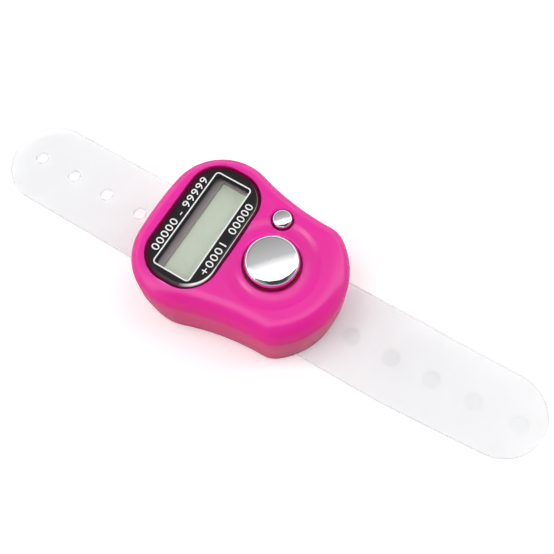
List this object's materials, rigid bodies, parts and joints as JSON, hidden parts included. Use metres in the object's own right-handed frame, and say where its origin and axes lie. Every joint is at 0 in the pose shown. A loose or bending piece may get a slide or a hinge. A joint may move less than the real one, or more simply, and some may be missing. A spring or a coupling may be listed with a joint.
{
  "type": "finger tally counter",
  "caption": "Finger tally counter: a pink moulded housing with a small display, a large chromed count button and a small reset button, on a clear strap.",
  "frame": {"origin": "middle of the housing's flat back, on the face that lies on a finger or a table", "axes": "+X along the display, to the reader's right; +Y along the strap, to the display end with the strap's holes; +Z out of the display"},
  "size_m": [0.029, 0.1067, 0.0156],
  "materials": {
    "pink_shell": "gloss injection-moulded pink",
    "clear_strap": "soft translucent clear moulding, lightly frosted",
    "clear_lens": "clear polished, bevelled edge",
    "mask_print": "black print behind the lens",
    "chrome": "bright chrome plating on moulded plastic",
    "steel": "plated steel",
    "cell_steel": "nickel-plated can",
    "contact_strip": "nickel-plated spring brass",
    "white_plastic": "natural moulded",
    "holder_plastic": "dark grey moulded",
    "board": "green solder resist on fibre board",
    "potting": "black potting",
    "components": "tan ceramic bodies",
    "zebra_rubber": "striped conductive rubber",
    "polariser": "satin film",
    "lcd_glass": "clear",
    "reflector": "pale grey-green foil",
    "adhesive": "black tape",
    "key_rubber": "milky silicone rubber",
    "pill_rubber": "black conductive rubber"
  },
  "bodies": {
    "housing": {"front_shell": "pink_shell", "rear_cover": "pink_shell", "case_screws": "steel", "board_screws": "steel", "battery_tray": "white_plastic", "button_cell": "cell_steel", "negative_contact": "contact_strip", "positive_contact": "contact_strip", "circuit_board": "board", "chip_blob": "potting", "board_components": "components", "zebra_strip_upper": "zebra_rubber", "zebra_strip_lower": "zebra_rubber", "lcd_holder": "holder_plastic", "lcd_front_polariser": "polariser", "lcd_front_glass": "lcd_glass", "lcd_rear_glass": "lcd_glass", "lcd_reflector": "reflector", "lens_adhesive": "adhesive", "lens_mask": "mask_print", "display_lens": "clear_lens", "count_dome": "key_rubber", "reset_dome": "key_rubber"},
    "strap": {"strap": "clear_strap"},
    "count_key": {"count_button": "chrome", "count_pill": "pill_rubber"},
    "reset_key": {"reset_button": "chrome", "reset_pill": "pill_rubber"}
  },
  "joints": [
    {"name": "count_press", "type": "slide", "parent": "housing", "child": "count_key", "axis": [0, 0, -1], "range_m": [0, 0.0009], "stiffness_N_per_m": 1500, "deforming": ["count_dome"]},
    {"name": "reset_press", "type": "slide", "parent": "housing", "child": "reset_key", "axis": [0, 0, -1], "range_m": [0, 0.0007], "stiffness_N_per_m": 1500, "deforming": ["reset_dome"]},
    {"name": "strap_slide", "type": "slide", "parent": "housing", "child": "strap", "axis": [0, -1, 0], "range_m": [-0.0015, 0.024]}
  ]
}
